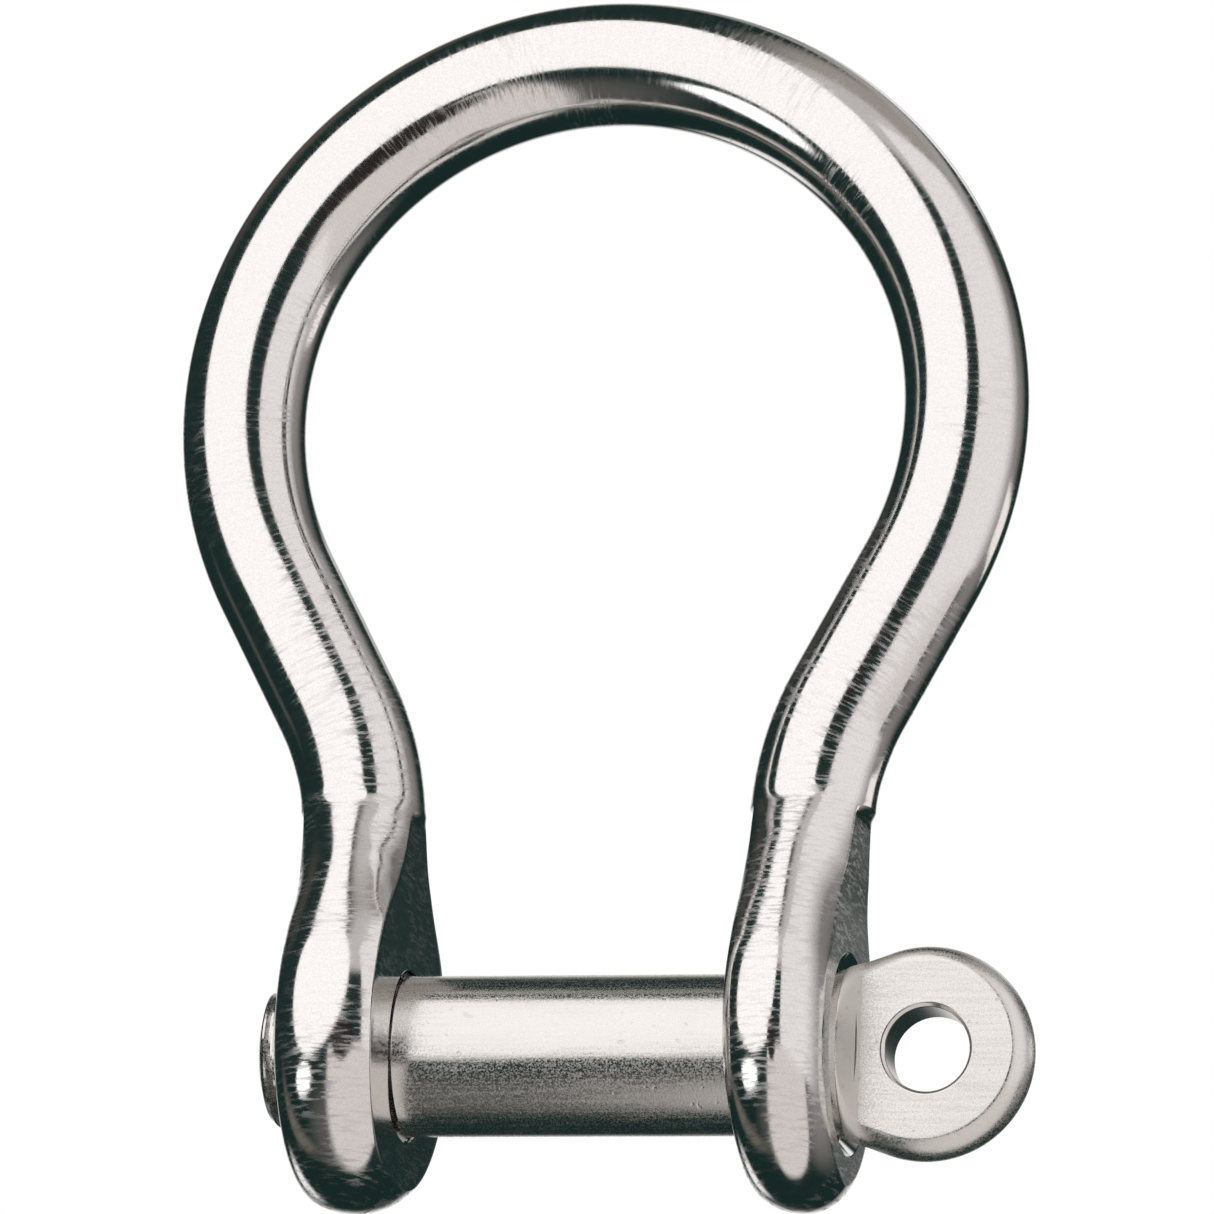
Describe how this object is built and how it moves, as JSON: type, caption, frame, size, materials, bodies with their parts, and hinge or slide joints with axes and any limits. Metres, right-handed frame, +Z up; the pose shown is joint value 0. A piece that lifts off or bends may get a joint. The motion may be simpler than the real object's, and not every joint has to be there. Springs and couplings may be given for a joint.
{
  "type": "bow shackle",
  "caption": "Bow shackle for sailing rigging: a bent round bar with pressed ears, closed by a screw pin with a holed eye for a key or safety wire.",
  "frame": {"origin": "on the pin's axis, midway between the two ears, where the eye or plate that the pin goes through bears on it", "axes": "+Z up from the pin to the crown of the bow, +X along the pin towards its eye, the shackle lies flat in the XZ plane"},
  "size_m": [0.0354, 0.0138, 0.0493],
  "materials": {
    "polished_steel": "polished stainless steel with fine marks across the bar",
    "satin_steel": "satin stainless steel, turned shank and pressed eye"
  },
  "bodies": {
    "bow": {"bow_body": "polished_steel"},
    "pin": {"screw_pin": "satin_steel"}
  },
  "joints": [
    {"name": "pin_withdrawal", "type": "slide", "parent": "bow", "child": "pin", "axis": [1, 0, 0], "range_m": [0, 0.026]}
  ]
}
